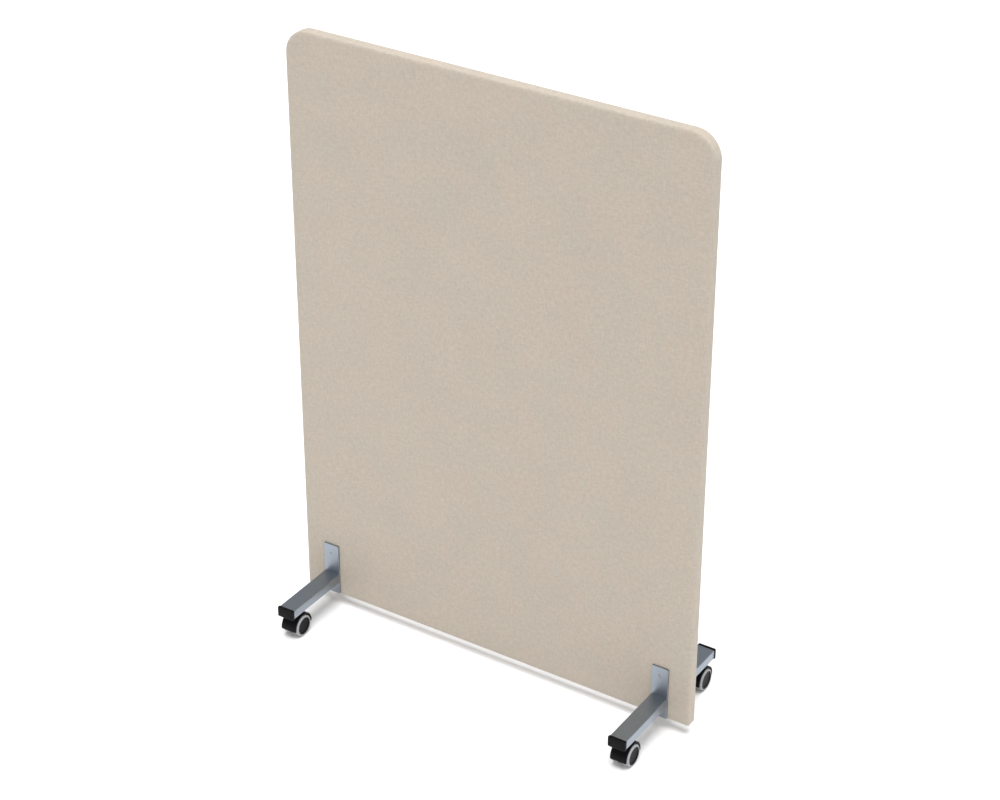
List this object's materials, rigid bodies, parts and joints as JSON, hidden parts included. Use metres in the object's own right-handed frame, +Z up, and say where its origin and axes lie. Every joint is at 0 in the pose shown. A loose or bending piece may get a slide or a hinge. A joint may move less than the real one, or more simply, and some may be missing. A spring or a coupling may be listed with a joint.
{
  "type": "partition wall",
  "caption": "Mobile partition wall: an upholstered screen with rounded top corners, clamped between steel legs that stand on swivelling twin-wheel castors.",
  "frame": {"origin": "on the floor, midway between the four castors and under the middle of the screen's lower edge", "axes": "+Z up, +X to the right along the screen's width, -Y out of the screen's front face"},
  "size_m": [1, 0.392, 1.395],
  "materials": {
    "cover_fabric": "woven beige melange upholstery cloth",
    "wadding": "white polyester wadding",
    "absorber": "pressed fibre board",
    "frame_timber": "planed softwood",
    "silver_steel": "satin silver-grey powder coat",
    "zinc_steel": "zinc plated",
    "black_plastic": "fine-grained moulding",
    "grey_tyre": "soft grey tread"
  },
  "bodies": {
    "screen": {"fabric_cover": "cover_fabric", "wadding_front": "wadding", "wadding_rear": "wadding", "absorber_core": "absorber", "frame_stile_left": "frame_timber", "frame_stile_right": "frame_timber", "frame_rail_top": "frame_timber", "frame_rail_bottom": "frame_timber", "foot_screw_left_lower": "zinc_steel", "sleeve_nut_left_lower": "zinc_steel", "foot_screw_left_upper": "zinc_steel", "sleeve_nut_left_upper": "zinc_steel", "foot_screw_right_lower": "zinc_steel", "sleeve_nut_right_lower": "zinc_steel", "foot_screw_right_upper": "zinc_steel", "sleeve_nut_right_upper": "zinc_steel", "front_left_foot_plate": "silver_steel", "front_left_leg_tube": "silver_steel", "front_left_end_cap": "black_plastic", "front_left_stem_nut": "zinc_steel", "front_left_castor_stem": "zinc_steel", "front_right_foot_plate": "silver_steel", "front_right_leg_tube": "silver_steel", "front_right_end_cap": "black_plastic", "front_right_stem_nut": "zinc_steel", "front_right_castor_stem": "zinc_steel", "rear_left_foot_plate": "silver_steel", "rear_left_leg_tube": "silver_steel", "rear_left_end_cap": "black_plastic", "rear_left_stem_nut": "zinc_steel", "rear_left_castor_stem": "zinc_steel", "rear_right_foot_plate": "silver_steel", "rear_right_leg_tube": "silver_steel", "rear_right_end_cap": "black_plastic", "rear_right_stem_nut": "zinc_steel", "rear_right_castor_stem": "zinc_steel"},
    "front_left_castor": {"front_left_castor_hood": "black_plastic", "front_left_axle": "zinc_steel"},
    "front_left_wheel_left": {"front_left_wheel_core_left": "black_plastic", "front_left_tyre_left": "grey_tyre"},
    "front_left_wheel_right": {"front_left_wheel_core_right": "black_plastic", "front_left_tyre_right": "grey_tyre"},
    "front_right_castor": {"front_right_castor_hood": "black_plastic", "front_right_axle": "zinc_steel"},
    "front_right_wheel_left": {"front_right_wheel_core_left": "black_plastic", "front_right_tyre_left": "grey_tyre"},
    "front_right_wheel_right": {"front_right_wheel_core_right": "black_plastic", "front_right_tyre_right": "grey_tyre"},
    "rear_left_castor": {"rear_left_castor_hood": "black_plastic", "rear_left_axle": "zinc_steel"},
    "rear_left_wheel_left": {"rear_left_wheel_core_left": "black_plastic", "rear_left_tyre_left": "grey_tyre"},
    "rear_left_wheel_right": {"rear_left_wheel_core_right": "black_plastic", "rear_left_tyre_right": "grey_tyre"},
    "rear_right_castor": {"rear_right_castor_hood": "black_plastic", "rear_right_axle": "zinc_steel"},
    "rear_right_wheel_left": {"rear_right_wheel_core_left": "black_plastic", "rear_right_tyre_left": "grey_tyre"},
    "rear_right_wheel_right": {"rear_right_wheel_core_right": "black_plastic", "rear_right_tyre_right": "grey_tyre"}
  },
  "joints": [
    {"name": "front_left_castor_swivel", "type": "hinge", "parent": "screen", "child": "front_left_castor", "pos_m": [-0.429, -0.149, 0.05], "axis": [0, 0, 1], "continuous": true},
    {"name": "front_left_wheel_left_spin", "type": "hinge", "parent": "front_left_castor", "child": "front_left_wheel_left", "pos_m": [-0.429, -0.157, 0.025], "axis": [1, 0, 0], "continuous": true},
    {"name": "front_left_wheel_right_spin", "type": "hinge", "parent": "front_left_castor", "child": "front_left_wheel_right", "pos_m": [-0.429, -0.157, 0.025], "axis": [1, 0, 0], "continuous": true},
    {"name": "front_right_castor_swivel", "type": "hinge", "parent": "screen", "child": "front_right_castor", "pos_m": [0.429, -0.149, 0.05], "axis": [0, 0, 1], "continuous": true},
    {"name": "front_right_wheel_left_spin", "type": "hinge", "parent": "front_right_castor", "child": "front_right_wheel_left", "pos_m": [0.429, -0.157, 0.025], "axis": [1, 0, 0], "continuous": true},
    {"name": "front_right_wheel_right_spin", "type": "hinge", "parent": "front_right_castor", "child": "front_right_wheel_right", "pos_m": [0.429, -0.157, 0.025], "axis": [1, 0, 0], "continuous": true},
    {"name": "rear_left_castor_swivel", "type": "hinge", "parent": "screen", "child": "rear_left_castor", "pos_m": [-0.429, 0.149, 0.05], "axis": [0, 0, 1], "continuous": true},
    {"name": "rear_left_wheel_left_spin", "type": "hinge", "parent": "rear_left_castor", "child": "rear_left_wheel_left", "pos_m": [-0.429, 0.157, 0.025], "axis": [1, 0, 0], "continuous": true},
    {"name": "rear_left_wheel_right_spin", "type": "hinge", "parent": "rear_left_castor", "child": "rear_left_wheel_right", "pos_m": [-0.429, 0.157, 0.025], "axis": [1, 0, 0], "continuous": true},
    {"name": "rear_right_castor_swivel", "type": "hinge", "parent": "screen", "child": "rear_right_castor", "pos_m": [0.429, 0.149, 0.05], "axis": [0, 0, 1], "continuous": true},
    {"name": "rear_right_wheel_left_spin", "type": "hinge", "parent": "rear_right_castor", "child": "rear_right_wheel_left", "pos_m": [0.429, 0.157, 0.025], "axis": [1, 0, 0], "continuous": true},
    {"name": "rear_right_wheel_right_spin", "type": "hinge", "parent": "rear_right_castor", "child": "rear_right_wheel_right", "pos_m": [0.429, 0.157, 0.025], "axis": [1, 0, 0], "continuous": true}
  ]
}
